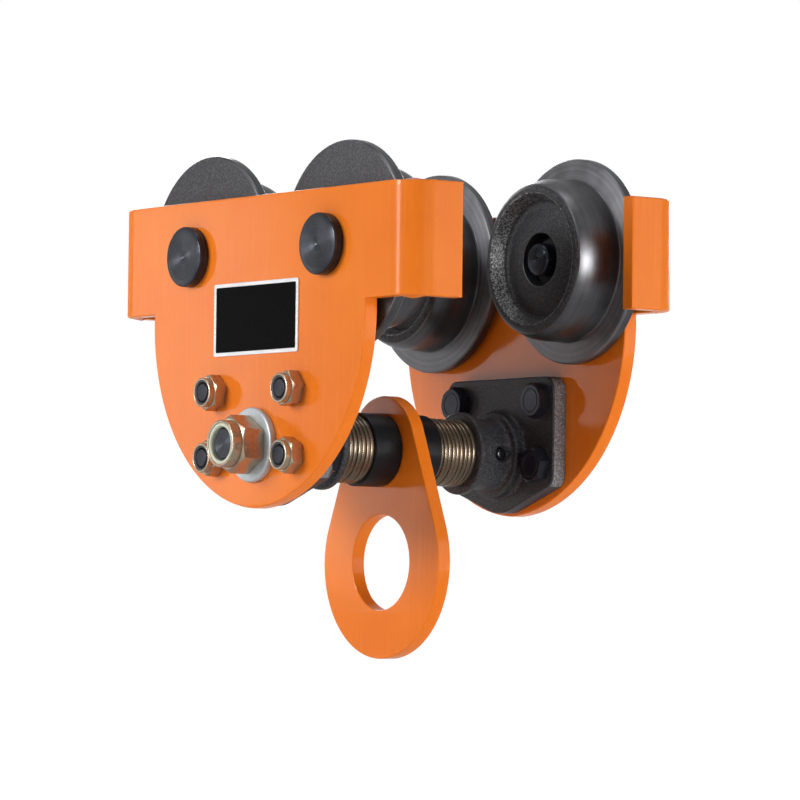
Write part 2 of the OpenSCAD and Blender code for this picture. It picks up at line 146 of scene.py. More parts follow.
# Crossbar and what sits on it
END_FLATS = 30 * MM
END_THREAD = Thread(radius=10 * MM, pitch=2.5 * MM, depth=1.3 * MM, chamfer=1.6 * MM)
SHAFT_RADIUS = 12.5 * MM
SHAFT_HOLE = 12.65 * MM
WASHER_THICKNESS = 3 * MM
WASHER_GAP = 0.05 * MM
WASHER_DRIFT = 0.18 * MM
EYE_HOLE = 28.5 * MM
EYE_SHAFT_HOLE = 12.56 * MM
EYE_TOP_RADIUS = 32.5 * MM
EYE_EDGE = 0.7 * MM

# Wheels and axle pins
FLANGE_RADIUS = 61.5 * MM
TREAD_WIDTH = 30 * MM
FLANGE_WIDTH = 7 * MM
CROWN_PLACE = 0.34
CROWN_RADIUS = 90 * MM
SHOULDER_RADIUS = 28 * MM
SHOULDER_WIDTH = 13 * MM
FACE_CHAMFER = 1.7 * MM
FACE_RADIUS = 42.2 * MM
RECESS_MOUTH = 38.5 * MM
RECESS_FOOT = 31.5 * MM
RECESS_DEPTH = 9.3 * MM
WEB_RISE = 2.5 * MM
CENTRE_HOLE = 16 * MM
BEARING_SEAT = 23.52 * MM
BEARING_DEPTH = 22 * MM
PIN_RADIUS = 8.5 * MM
PIN_END_RADIUS = 9.75 * MM
PIN_END_LENGTH = 10.8 * MM

# Label
LABEL_BORDER = 2.2 * MM
LABEL_SINK = 0.1 * MM

# Meshes: points closer than this are merged, and a fillet takes at most this share of a stretch
WELD = 1e-7
PLATE_WELD = 2e-6
FILLET_SHARE = 0.48

# Light that comes from the white surroundings: on matt surfaces, and in reflections
FILL = 0.055
GLOSSY_FILL = 0.45

# The floor's glow below the trolley, to the camera and in reflections, and where it turns full white
NEAR_GLOW = 0.62
NEAR_GLOSSY_GLOW = 0.12
GLOW_NEAR = 0.8
GLOW_FAR = 3.5
FLOOR_DROP = 0.30
FLOOR_SIZE = 60

# Lamps
LAMP_TARGET = Vector((0, 0, -30 * MM))
SHEEN_ON = ("wheel", "adjusting_washers", "lock_screw")


# The frame, and the sizes that it gives

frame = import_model()
scene = bpy.context.scene
nodes = frame["nodes"]


def centre(node):
    """The middle of a node's box."""
    low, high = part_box(node)
    return (low + high) / 2


def reach(node):
    """The smallest and largest distance of a node from the plane Y = 0."""
    low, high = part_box(node)
    return min(abs(low.y), abs(high.y)), max(abs(low.y), abs(high.y))


def radius_of(node):
    """Half of a node's size along X."""
    low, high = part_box(node)
    return (high.x - low.x) / 2


def side_name(side):
    """The name of a side: -1 is the front, towards -Y, and 1 the back."""
    return "front" if side < 0 else "back"


AXLE_X = abs(centre("wheel_back_right").x)
AXLE_Z = centre("wheel_back_right").z
TREAD_RADIUS = AXLE_Z  # the wheels run on the beam at Z = 0
SHAFT_Z = centre("crossbar").z
PLATE_OUTER = reach("side_plate_back")[1]
PLATE_INNER = reach("hub_back")[1]
PLATE_THICKNESS = PLATE_OUTER - PLATE_INNER
HALF_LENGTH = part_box("side_plate_back")[1].x
BAR_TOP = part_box("side_plate_back")[1].z
BAR_BOTTOM = 2 * AXLE_Z - BAR_TOP
LOBE_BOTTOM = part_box("side_plate_back")[0].z
EAR_END = reach("side_plate_back")[0]
BEND_START = HALF_LENGTH - BEND_RADIUS
BEND_MIDDLE = BEND_RADIUS - PLATE_THICKNESS / 2
BEND_LENGTH = BEND_MIDDLE * math.pi / 2
BOLT_ROWS = {1: SHAFT_Z + BOLTS_ABOVE, -1: SHAFT_Z - BOLTS_BELOW}


# Camera

def make_camera():
    """The camera of the photograph, rolled a little about its line of sight."""
    azimuth = math.radians(CAMERA_AZIMUTH)
    elevation = math.radians(CAMERA_ELEVATION)
    roll = math.radians(CAMERA_ROLL)
    level = math.cos(elevation)
    forward = Vector((-math.sin(azimuth) * level, math.cos(azimuth) * level, -math.sin(elevation)))
    right = Vector((math.cos(azimuth), math.sin(azimuth), 0))
    up = right.cross(forward)
    rolled_right = right * math.cos(roll) + up * math.sin(roll)
    rolled_up = up * math.cos(roll) - right * math.sin(roll)
    data = bpy.data.cameras.new("camera")
    data.sensor_width = SENSOR
    data.lens = FOCAL_PIXELS / FRAME_PIXELS * SENSOR
    data.clip_start = 0.1
    data.clip_end = 50
    camera = bpy.data.objects.new("camera", data)
    turn = Matrix((rolled_right, rolled_up, -forward)).transposed().to_4x4()
    camera.matrix_world = Matrix.Translation(CAMERA_TARGET - forward * CAMERA_DISTANCE) @ turn
    scene.collection.objects.link(camera)
    scene.camera = camera


make_camera()


# Material tools

class Recipe:
    """A material and the few node calls that the recipes below share."""

    def __init__(self, name):
        self.material = bpy.data.materials.new(name)
        self.material.use_nodes = True
        self.tree = self.material.node_tree
        self.shader = self.tree.nodes["Principled BSDF"]
        self.coords = self.tree.nodes.new("ShaderNodeTexCoord")

    def node(self, kind, inputs=None, **settings):
        """A new node with its inputs linked or set, and its settings."""
        made = self.tree.nodes.new(kind)
        for key, value in settings.items():
            setattr(made, key, value)
        for key, value in (inputs or {}).items():
            self.put(made, key, value)
        return made

    def put(self, node, key, value):
        """Links a socket, or sets a plain value, on the enabled input of that name or number."""
        if isinstance(key, int):
            target = node.inputs[key]
        else:
            target = next(s for s in node.inputs if s.name == key and s.enabled)
        if isinstance(value, bpy.types.NodeSocket):
            self.tree.links.new(value, target)
        else:
            target.default_value = value

    def set(self, **values):
        """Links or sets inputs of the shader. An underscore stands for a space."""
        for key, value in values.items():
            self.put(self.shader, key.replace("_", " "), value)

    def place(self, source="Object", scale=(1, 1, 1)):
        """Coordinates stretched by scale."""
        mapping = self.node("ShaderNodeMapping", {"Vector": self.coords.outputs[source], "Scale": scale})
        return mapping.outputs["Vector"]

    def noise(self, vector, scale, detail, roughness=0.55, distortion=0):
        """Soft noise from 0 to 1. scale is its density."""
        inputs = {"Vector": vector, "Scale": scale, "Detail": detail}
        inputs.update({"Roughness": roughness, "Distortion": distortion})
        return self.node("ShaderNodeTexNoise", inputs).outputs["Fac"]

    def spread(self, value, low, high, to_low=0.0, to_high=1.0):
        """value from low to high, mapped to the second range and held there outside it."""
        inputs = {"Value": value, "From Min": low, "From Max": high, "To Min": to_low, "To Max": to_high}
        return self.node("ShaderNodeMapRange", inputs).outputs["Result"]

    def math(self, operation, a, b):
        """The result of an operation on two values."""
        return self.node("ShaderNodeMath", {0: a, 1: b}, operation=operation).outputs[0]

    def mix(self, factor, a, b):
        """Colour a where factor is 0 and b where it is 1."""
        made = self.node("ShaderNodeMix", {"Factor": factor, "A": a, "B": b}, data_type="RGBA")
        return next(s for s in made.outputs if s.enabled)

    def bump(self, height, strength, distance, under=None):
        """A bumpy normal. distance is the height's range, and under the normal that it is added to."""
        inputs = {"Height": height, "Strength": strength, "Distance": distance}
        if under is not None:
            inputs["Normal"] = under
        return self.node("ShaderNodeBump", inputs).outputs["Normal"]


def rgb(red, green, blue):
    """An opaque colour in linear light."""
    return (red, green, blue, 1.0)


# Materials

def orange_paint():
    """Thick gloss paint over rolled plate, with slight orange peel, faint upright streaks and dust."""
    m = Recipe("orange_paint")
    cloud = m.noise(m.place(), scale=14, detail=3)
    streak = m.noise(m.place(scale=(1, 1, 0.03)), scale=420, detail=2)
    fine = m.noise(m.place(), scale=650, detail=2)
    base = m.mix(m.spread(cloud, 0.35, 0.65), rgb(0.83, 0.183, 0.010), rgb(0.87, 0.208, 0.014))
    streaked = m.mix(m.spread(streak, 0.52, 0.78, 0, 0.3), base, rgb(0.95, 0.26, 0.03))
    m.set(Base_Color=m.mix(m.spread(fine, 0.55, 0.8, 0, 0.14), streaked, rgb(0.7, 0.11, 0.008)))
    m.set(Roughness=m.spread(cloud, 0.3, 0.7, 0.34, 0.46), Specular_IOR_Level=0.05)
    m.set(Coat_Weight=0.45, Coat_Roughness=0.12)
    peel = m.noise(m.place(), scale=260, detail=2)
    waves = m.noise(m.place(scale=(1, 1, 0.25)), scale=45, detail=2)
    rough = m.bump(fine, 0.12, 0.2 * MM)
    m.set(Normal=m.bump(waves, 0.25, 1.2 * MM, m.bump(peel, 0.18, 0.5 * MM, rough)))
    return m.material


def cast_iron(name, dark, light, gloss, grain, sparkle, specular=0.5):
    """Sand-cast skin under thin black paint. grain is the depth of its grain."""
    m = Recipe(name)
    sand = m.noise(m.place(), scale=900, detail=5, roughness=0.7)
    lumps = m.noise(m.place(), scale=160, detail=3)
    m.set(Base_Color=m.mix(m.spread(sand, 0.45, 0.72), dark, light))
    m.set(Metallic=sparkle, Roughness=m.spread(sand, 0.35, 0.7, gloss, gloss + 0.22))
    m.set(Specular_IOR_Level=specular)
    m.set(Normal=m.bump(lumps, 0.35, grain * 2, m.bump(sand, 0.8, grain)))
    return m.material


def turned_metal(name, dark, light, metallic, gloss, rings, depth=0.08 * MM, grooved=0.7, specular=0.5):
    """Turned metal with fine rings along the surface's second UV axis.

    rings is their density, depth their depth, and grooved how far they stretch the reflections.
    """
    m = Recipe(name)
    cut = m.noise(m.place("UV", (0, rings, 1)), scale=1, detail=3, roughness=0.6)
    patch = m.noise(m.place(), scale=60, detail=4)
    fine = m.noise(m.place(), scale=1100, detail=3)
    tone = m.math("ADD", m.math("MULTIPLY", cut, 0.5), m.math("MULTIPLY", patch, 0.5))
    m.set(Base_Color=m.mix(m.spread(tone, 0.38, 0.64), dark, light))
    m.set(Metallic=metallic, Roughness=m.spread(patch, 0.3, 0.7, gloss - 0.05, gloss + 0.1))
    m.set(Specular_IOR_Level=specular)
    m.set(Anisotropic=grooved, Anisotropic_Rotation=0.25)
    m.set(Tangent=m.node("ShaderNodeTangent", direction_type="RADIAL", axis="Y").outputs["Tangent"])
    m.set(Normal=m.bump(cut, 0.5, depth, m.bump(fine, 0.25, 0.06 * MM)))
    return m.material


def yellow_zinc(name, green, gold, rose, stain, gloss):
    """Yellow passivated zinc: gold with faint green and rose tints, and stains."""
    m = Recipe(name)
    tint = m.noise(m.place(), scale=70, detail=2, roughness=0.5, distortion=0.4)
    spots = m.noise(m.place(), scale=420, detail=4)
    yellow = m.mix(m.spread(tint, 0.3, 0.6), green, gold)
    rosy = m.mix(m.spread(tint, 0.5, 0.8), yellow, rose)
    m.set(Base_Color=m.mix(m.spread(spots, 0.5, 0.8, 0, 0.08), rosy, stain))
    m.set(Metallic=0.8, Roughness=m.spread(tint, 0.3, 0.7, gloss, gloss + 0.12))
    m.set(Normal=m.bump(spots, 0.08, 0.04 * MM))
    return m.material


def bright_zinc():
    """Plain zinc plating, slightly cloudy."""
    m = Recipe("bright_zinc")
    cloud = m.noise(m.place(), scale=130, detail=4)
    fine = m.noise(m.place(), scale=1200, detail=3)
    m.set(Base_Color=m.mix(m.spread(cloud, 0.35, 0.65), rgb(0.44, 0.48, 0.50), rgb(0.56, 0.60, 0.62)))
    m.set(Metallic=0.35, Roughness=m.spread(cloud, 0.3, 0.7, 0.36, 0.46))
    m.set(Normal=m.bump(fine, 0.2, 0.05 * MM))
    return m.material


def plastic(name, dark, light, gloss, specular=0.5):
    """Moulded plastic with a slightly uneven surface."""
    m = Recipe(name)
    cloud = m.noise(m.place(), scale=220, detail=3)
    fine = m.noise(m.place(), scale=1400, detail=2)
    m.set(Base_Color=m.mix(m.spread(cloud, 0.35, 0.65), dark, light))
    m.set(Roughness=m.spread(fine, 0.3, 0.7, gloss, gloss + 0.12), Specular_IOR_Level=specular)
    m.set(Normal=m.bump(fine, 0.2, 0.05 * MM))
    return m.material


def label_border_metal():
    """Brushed silver foil."""
    m = Recipe("label_border")
    brushed = m.noise(m.place(scale=(0.05, 1, 1)), scale=1500, detail=2)
    m.set(Base_Color=m.mix(m.spread(brushed, 0.4, 0.6), rgb(0.74, 0.74, 0.75), rgb(0.86, 0.86, 0.87)))
    m.set(Metallic=0.35, Roughness=0.35)
    m.set(Normal=m.bump(brushed, 0.2, 0.04 * MM))
    return m.material


PAINT = orange_paint()
TREAD = turned_metal(
    "wheel_turned",
    rgb(0.10, 0.10, 0.107),
    rgb(0.16, 0.161, 0.17),
    metallic=0.9,
    gloss=0.35,
    rings=5,
    depth=0.04 * MM,
    grooved=0.3,
)
FLANGE = turned_metal(
    "wheel_flange",
    rgb(0.13, 0.131, 0.14),
    rgb(0.22, 0.221, 0.235),
    metallic=0.75,
    gloss=0.42,
    rings=5,
    depth=0.05 * MM,
    grooved=0.5,
)
WHEEL_CAST = cast_iron(
    "wheel_cast",
    rgb(0.02, 0.02, 0.022),
    rgb(0.11, 0.11, 0.118),
    gloss=0.42,
    grain=0.22 * MM,
    sparkle=0.3,
    specular=0.35,
)
WHEEL_WALL = cast_iron(
    "wheel_wall",
    rgb(0.03, 0.03, 0.031),
    rgb(0.5, 0.5, 0.51),
    gloss=0.26,
    grain=0.4 * MM,
    sparkle=0.6,
)
WHEEL_BACK = cast_iron(
    "wheel_back",
    rgb(0.026, 0.026, 0.029),
    rgb(0.115, 0.115, 0.126),
    gloss=0.45,
    grain=0.12 * MM,
    sparkle=0.3,
)
HUB = cast_iron(
    "hub_cast",
    rgb(0.028, 0.028, 0.031),
    rgb(0.125, 0.125, 0.136),
    gloss=0.33,
    grain=0.2 * MM,
    sparkle=0.25,
    specular=0.3,
)
# Lighter grey for the hub flange's sideways faces: partly bare cast, partly a painted highlight of the light
# from the side
HUB_SIDE_BARE_HIGHLIT = cast_iron(
    "hub_side",
    rgb(0.12, 0.12, 0.122),
    rgb(0.5, 0.5, 0.51),
    gloss=0.4,
    grain=0.3 * MM,
    sparkle=0.3,
)
SCREW = turned_metal(
    "screw_black",
    rgb(0.010, 0.010, 0.012),
    rgb(0.025, 0.025, 0.028),
    metallic=0.4,
    gloss=0.12,
    rings=4,
    depth=0.01 * MM,
    grooved=0,
)
PIN = turned_metal(
    "pin_steel",
    rgb(0.022, 0.024, 0.030),
    rgb(0.065, 0.070, 0.083),
    metallic=0.8,
    gloss=0.3,
    rings=9,
    depth=0.06 * MM,
    grooved=0.85,
)
COLLAR = turned_metal(
    "collar_black",
    rgb(0.005, 0.006, 0.007),
    rgb(0.011, 0.012, 0.014),
    metallic=0,
    gloss=0.32,
    rings=4,
    depth=0.02 * MM,
    specular=0.25,
)
BOLT = turned_metal(
    "bolt_black",
    rgb(0.010, 0.011, 0.016),
    rgb(0.032, 0.033, 0.045),
    metallic=0.6,
    gloss=0.3,
    rings=6,
    grooved=0,
)
# Nearly black steel for the bearings, retaining rings and spacers: painted shade inside the wheels' centre
# holes
HOLE_SHADE_STEEL = turned_metal(
    "bearing_steel",
    rgb(0.035, 0.035, 0.037),
    rgb(0.07, 0.07, 0.073),
    metallic=0.9,
    gloss=0.42,
    rings=14,
    grooved=0,
)
GOLD = yellow_zinc(
    "yellow_zinc",
    green=rgb(0.46, 0.41, 0.31),
    gold=rgb(0.48, 0.36, 0.25),
    rose=rgb(0.46, 0.30, 0.22),
    stain=rgb(0.18, 0.10, 0.07),
    gloss=0.19,
)
STACK = yellow_zinc(
    "washer_zinc",
    green=rgb(0.16, 0.14, 0.105),
    gold=rgb(0.19, 0.147, 0.10),
    rose=rgb(0.175, 0.122, 0.09),
    stain=rgb(0.07, 0.05, 0.03),
    gloss=0.2,
)
ZINC = bright_zinc()
NYLON = plastic("cream_nylon", rgb(0.58, 0.60, 0.47), rgb(0.70, 0.71, 0.58), gloss=0.42)
DARK_NYLON = plastic("dark_nylon", rgb(0.035, 0.037, 0.045), rgb(0.06, 0.062, 0.07), gloss=0.4)
LABEL = plastic(
    "label_black",
    rgb(0.0008, 0.0008, 0.0009),
    rgb(0.0014, 0.0014, 0.0015),
    gloss=0.22,
    specular=0.02,
)
BORDER = label_border_metal()


# Mesh tools

def soften(mesh, angle=32):
    """Smooth shading that keeps the edges sharper than angle degrees."""
    mesh.shade_smooth()
    mesh.set_sharp_from_angle(angle=math.radians(angle))


def add_piece(mesh, name, body, materials, stands_for, weighted=False):
    """Links a mesh as a piece that rides on a body and stands for the given nodes."""
    for material in materials:
        mesh.materials.append(material)
    piece = bpy.data.objects.new(name, mesh)
    scene.collection.objects.link(piece)
    if weighted:
        modifier = piece.modifiers.new("flat faces", "WEIGHTED_NORMAL")
        modifier.keep_sharp = True
    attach(piece, body)
    if stands_for:
        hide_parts(*stands_for)
    return piece


def close(bm, name):
    """Merges what meets, turns the faces outwards and returns the mesh."""
    bmesh.ops.remove_doubles(bm, verts=bm.verts, dist=WELD)
    bmesh.ops.dissolve_degenerate(bm, edges=bm.edges, dist=WELD / 10)
    bmesh.ops.recalc_face_normals(bm, faces=bm.faces)
    mesh = bpy.data.meshes.new(name)
    bm.to_mesh(mesh)
    bm.free()
    return mesh


def arc(x, y, radius, start, end, count):
    """Points of an arc between two angles in degrees."""
    angles = (math.radians(start + (end - start) * i / count) for i in range(count + 1))
    return [(x + radius * math.cos(a), y + radius * math.sin(a)) for a in angles]


def rounded(points, steps):
    """A closed outline whose corners (x, y, fillet, tag) are rounded. Returns (x, y, tag) points.

    The tag of a corner is carried by the stretch that starts there. A fillet is limited by its neighbours.
    """
    outline = []
    for i, (x, y, fillet, tag) in enumerate(points):
        corner = Vector((x, y))
        before = Vector(points[i - 1][:2]) - corner
        after = Vector(points[(i + 1) % len(points)][:2]) - corner
        if fillet <= 0:
            outline.append((x, y, tag))
            continue
        half = before.angle(after) / 2
        length = min(fillet / math.tan(half), FILLET_SHARE * before.length, FILLET_SHARE * after.length)
        radius = length * math.tan(half)
        middle = corner + (before.normalized() + after.normalized()).normalized() * (radius / math.sin(half))
        first = corner + before.normalized() * length - middle
        last = corner + after.normalized() * length - middle
        sweep = math.pi - 2 * half
        for k in range(steps + 1):
            share = k / steps
            spoke = first * math.sin((1 - share) * sweep) + last * math.sin(share * sweep)
            spoke /= math.sin(sweep)
            outline.append((middle.x + spoke.x, middle.y + spoke.y, tag))
    return outline


def turn_into(bm, profile, x, z, station, side, steps):
    """Adds a turned shape to bm. profile is a closed outline of (radius, distance, tag).

    Its axis runs along Y through x, z, and a distance is counted from station away from the middle.
    The UV map holds the turn in u and the length along the profile in centimetres in v.
    """
    uv = bm.loops.layers.uv.verify()
    rings = []
    for radius, distance, _ in profile:
        y = side * (station + distance)
        turns = (2 * math.pi * i / steps for i in range(steps))
        rings.append([bm.verts.new((x + radius * math.sin(t), y, z + radius * math.cos(t))) for t in turns])
    travelled = 0.0
    for j, ring in enumerate(rings):
        following = rings[(j + 1) % len(rings)]
        here = Vector(profile[j][:2])
        there = Vector(profile[(j + 1) % len(profile)][:2])
        step = (there - here).length * 100
        for i in range(steps):
            k = (i + 1) % steps
            face = bm.faces.new((ring[i], ring[k], following[k], following[i]))
            face.material_index = profile[j][2]
            corners = ((i, 0), (i + 1, 0), (i + 1, step), (i, step))
            for loop, (turn, along) in zip(face.loops, corners):
                loop[uv].uv = (turn / steps, travelled + along)
        travelled += step


def turned(name, body, slot, materials, profile, x, z, station, side, stands_for, steps=96):
    """A turned piece from one profile."""
    bm = bmesh.new()
    turn_into(bm, profile, x, z, station, side, steps)
    mesh = close(bm, name)
    soften(mesh)
    add_piece(mesh, name, body, materials, stands_for)


def flat_plate(name, outlines, thickness, edge):
    """A flat plate with rounded edges, drawn in X and Z and centred on Y = 0.

    The first outline is its rim, and the others are holes.
    """
    curve = bpy.data.curves.new(name, "CURVE")
    curve.dimensions = "2D"
    curve.fill_mode = "BOTH"
    for outline in outlines:
        spline = curve.splines.new("POLY")
        spline.points.add(len(outline) - 1)
        for point, (x, z) in zip(spline.points, outline):
            point.co = (x, z, 0, 1)
        spline.use_cyclic_u = True
    curve.extrude = thickness / 2 - edge
    curve.bevel_depth = edge
    curve.bevel_resolution = 2
    curve.offset = -edge
    drawn = bpy.data.objects.new(name, curve)
    scene.collection.objects.link(drawn)
    bpy.context.view_layer.update()
    mesh = bpy.data.meshes.new_from_object(drawn.evaluated_get(bpy.context.evaluated_depsgraph_get()))
    bpy.data.objects.remove(drawn)
    bm = bmesh.new()
    bm.from_mesh(mesh)
    bpy.data.meshes.remove(mesh)
    for vertex in bm.verts:
        vertex.co = Vector((vertex.co.x, -vertex.co.z, vertex.co.y))
    bmesh.ops.remove_doubles(bm, verts=bm.verts, dist=PLATE_WELD)
    return bm


def hole(x, z, radius, count=64):
    """A circle of count points."""
    return arc(x, z, radius, 0, 360 * (count - 1) / count, count - 1)


# Side plates

def plate_outline():
    """The side plate before bending: a bar, and a round part that two circles bound."""
    lobe_z = LOBE_BOTTOM + math.sqrt(LOBE_RADIUS**2 - LOBE_NARROWING**2)
    half = BEND_START + BEND_LENGTH + PLATE_OUTER - BEND_RADIUS - EAR_END
    start = math.degrees(math.asin((BAR_BOTTOM - lobe_z) / LOBE_RADIUS))
    end = -math.degrees(math.acos(LOBE_NARROWING / LOBE_RADIUS))
    right = arc(-LOBE_NARROWING, lobe_z, LOBE_RADIUS, start, end, 60)
    left = [(-x, z) for x, z in reversed(right[:-1])]
    return [(-half, BAR_BOTTOM), (-half, BAR_TOP), (half, BAR_TOP), (half, BAR_BOTTOM), *right, *left]


def bend(bm):
    """Bends both ends of the flat plate towards -Y, and lets the inside of each bend bulge at its edges."""
    for sign in (-1, 1):
        for i in range(-CUTS_BEYOND_BEND, BEND_CUTS + CUTS_BEYOND_BEND + 1):
            plane = Vector((sign * (BEND_START + BEND_LENGTH * i / BEND_CUTS), 0, 0))
            parts = [*bm.verts, *bm.edges, *bm.faces]
            bmesh.ops.bisect_plane(bm, geom=parts, plane_co=plane, plane_no=(1, 0, 0), dist=WELD)
    for vertex in bm.verts:
        past = abs(vertex.co.x) - BEND_START
        if past <= 0:
            continue
        depth = vertex.co.y
        turn = min(past / BEND_LENGTH, 1) * math.pi / 2
        ear = max(past - BEND_LENGTH, 0)
        up = math.copysign(1, vertex.co.z - AXLE_Z)
        edge = BAR_TOP if up > 0 else BAR_BOTTOM
        nearness = max(0, 1 - abs(edge - vertex.co.z) / BULGE_REACH)
        inside = BULGE_BALANCE - depth / PLATE_THICKNESS
        vertex.co.z += up * BEND_BULGE * math.sin(2 * turn) ** 2 * nearness**2 * inside
        radius = BEND_MIDDLE + depth
        vertex.co.x = math.copysign(BEND_START + radius * math.sin(turn), vertex.co.x)
        vertex.co.y = radius * math.cos(turn) - BEND_MIDDLE - ear


def side_plate(side):
    """A bent side plate with the holes for its pins, bolts and crossbar."""
    name = f"side_plate_{side_name(side)}"
    holes = [hole(x, AXLE_Z, AXLE_HOLE) for x in (-AXLE_X, AXLE_X)]
    holes += [hole(x * BOLT_X, BOLT_ROWS[row], BOLT_HOLE, count=48) for x in (-1, 1) for row in (1, -1)]
    holes.append(hole(0, SHAFT_Z, SHAFT_HOLE))
    bm = flat_plate(name, [plate_outline(), *holes], PLATE_THICKNESS, PLATE_EDGE)
    bend(bm)
    for vertex in bm.verts:
        vertex.co.y = side * (vertex.co.y + (PLATE_OUTER + PLATE_INNER) / 2)
    mesh = close(bm, name)
    soften(mesh, 50)
    add_piece(mesh, f"{name}_painted", "frame", [PAINT], [name], weighted=True)


# Label

def label():
    """The bare black face and its silver border."""
    low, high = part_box("label_plate")
    middle = (low + high) / 2
    width = high.x - low.x
    height = high.z - low.z
    thickness = high.y - low.y

    def frame_line(inset, corner):
        half_w = width / 2 - inset
        half_h = height / 2 - inset
        corners = [(half_w, half_h), (-half_w, half_h), (-half_w, -half_h), (half_w, -half_h)]
        outline = rounded([(x, z, corner, 0) for x, z in corners], 5)
        return [(middle.x + x, middle.z + z) for x, z, _ in outline]

    face_line = frame_line(LABEL_BORDER / 2, corner=0.8 * MM)
    border_lines = [frame_line(0, corner=1.4 * MM), frame_line(LABEL_BORDER, corner=1 * MM)]
    face = flat_plate("label_face", [face_line], thickness - 2 * LABEL_SINK, edge=0.1 * MM)
    rim = flat_plate("label_rim", border_lines, thickness, edge=0.15 * MM)
    for bm, name, material, sink, stands_for in (
        (face, "label_face", LABEL, LABEL_SINK, ["label_plate"]),
        (rim, "label_rim", BORDER, 0, []),
    ):
        for vertex in bm.verts:
            vertex.co.y += middle.y + sink
        mesh = close(bm, name)
        soften(mesh, 40)
        add_piece(mesh, name, "frame", [material], stands_for, weighted=True)


# Wheels

def wheel_profile():
    """A wheel's outline, drawn from the back of the flange towards the middle of the trolley.

    The crown is widest at top. Each tag is the number of a material in wheels().
    """
    width = FLANGE_WIDTH + TREAD_WIDTH
    top = FLANGE_WIDTH + CROWN_PLACE * TREAD_WIDTH
    shoulder = width - SHOULDER_WIDTH
    edge = width - FACE_CHAMFER
    back, turned_skin, cast, face, sandy = range(5)

    def crown(along):
        """The tread's radius: a flat crown, and a rounder bend from the shoulder on."""
        past = max(0, along - shoulder)
        tilt = math.asin((along - past - top) / CROWN_RADIUS)
        steeper = math.asin(math.sin(tilt) + past / SHOULDER_RADIUS)
        drop = SHOULDER_RADIUS * (math.cos(tilt) - math.cos(steeper))
        return TREAD_RADIUS - CROWN_RADIUS * (1 - math.cos(tilt)) - drop

    flange = [
        (BEARING_SEAT, 0, 0.5 * MM, back),
        (FLANGE_RADIUS, 0, 1.3 * MM, turned_skin),
        (FLANGE_RADIUS, FLANGE_WIDTH, 1.7 * MM, face),
        (TREAD_RADIUS - 0.4 * MM, FLANGE_WIDTH + 0.7 * MM, 1.6 * MM, turned_skin),
        (TREAD_RADIUS - 0.25 * MM, FLANGE_WIDTH + 3.5 * MM, 2 * MM, turned_skin),
    ]
    outline = rounded(flange + [(TREAD_RADIUS, top, 0, turned_skin)], 6)[:-1]
    crown_steps = 20
    for i in range(crown_steps):
        along = top + (edge - top) * i / crown_steps
        outline.append((crown(along), along, turned_skin))
    foot = width - RECESS_DEPTH
    web = foot + WEB_RISE
    wall = [
        (crown(edge - 3 * MM), edge - 3 * MM, 0, turned_skin),
        (crown(edge), edge, 0.9 * MM, turned_skin),
        (crown(edge) - 0.9 * MM, edge + 0.5 * MM, 0, cast),
        (FACE_RADIUS, width, 1.6 * MM, cast),
        (RECESS_MOUTH + 0.6 * MM, width, 1.2 * MM, sandy),
        (RECESS_FOOT + 3.6 * MM, foot, 2.6 * MM, cast),
        (RECESS_FOOT, foot, 0, cast),
    ]
    outline += rounded(wall, 6)[1:-1]
    inner_edge = CENTRE_HOLE + 1 * MM
    web_steps = 8
    for i in range(web_steps + 1):
        out = 1 - i / web_steps
        radius = inner_edge + (RECESS_FOOT - inner_edge) * out
        outline.append((radius, foot + WEB_RISE * (1 - out**2), cast))
    bore = [
        (inner_edge, web, 0, cast),
        (CENTRE_HOLE, web, 0.8 * MM, turned_skin),
        (CENTRE_HOLE, BEARING_DEPTH, 0.3 * MM, turned_skin),
        (BEARING_SEAT, BEARING_DEPTH, 0.2 * MM, turned_skin),
        (BEARING_SEAT, web, 0, turned_skin),
    ]
    outline += rounded(bore, 4)[1:-1]
    return outline


def axle_places():
    """The side, the X place and the name of each of the four axles."""
    for side in (-1, 1):
        for x, end in ((-AXLE_X, "left"), (AXLE_X, "right")):
            yield side, x, f"{side_name(side)}_{end}"


def wheels():
    """The four wheels."""
    materials = [WHEEL_BACK, TREAD, WHEEL_CAST, FLANGE, WHEEL_WALL]
    inward = [(r, -t, tag) for r, t, tag in wheel_profile()]
    for side, x, spot in axle_places():
        node = f"wheel_{spot}"
        body = f"wheel_assembly_{spot}"
        far = reach(node)[1]
        turned(
            f"{node}_turned", body, "wheel_iron", materials, inward, x, AXLE_Z, far, side, [node], steps=144
        )


# Axle pins

def axle_profile(length, head_radius, head_start):
    """A pin's outline, drawn from the peened end in the wheel's recess to the wide head outside."""
    end = PIN_END_RADIUS
    return rounded(
        [
            (0, 2.4 * MM, 0, 0),
            (1.2 * MM, 1.6 * MM, 0.5 * MM, 0),
            (1.8 * MM, 0.4 * MM, 0.4 * MM, 0),
            (2.6 * MM, 0.0 * MM, 0.3 * MM, 0),
            (end - 2.2 * MM, 0.2 * MM, 1.5 * MM, 0),
            (end - 0.8 * MM, 0.7 * MM, 1.2 * MM, 0),
            (end, 2 * MM, 1.4 * MM, 0),
            (end, PIN_END_LENGTH, 0.4 * MM, 0),
            (PIN_RADIUS, PIN_END_LENGTH, 0, 0),
            (PIN_RADIUS, head_start, 0, 0),
            (head_radius, head_start, 0.3 * MM, 0),
            (head_radius, length - 0.2 * MM, 1.1 * MM, 0),
            (head_radius - 3.5 * MM, length, 2 * MM, 0),
            (2.2 * MM, length - 0.5 * MM, 0.6 * MM, 0),
            (0, length - 1.2 * MM, 0, 0),
        ],
        steps=4,
    )


def axles():
    """The four axle pins."""
    for side, x, spot in axle_places():
        node = f"axle_{spot}"
        near, far = reach(node)
        profile = axle_profile(far - near, radius_of(node), PLATE_OUTER - near)
        turned(f"{node}_pin", "frame", "dark_steel", [PIN], profile, x, AXLE_Z, near, side, [node])


# Threads, nuts and bolts

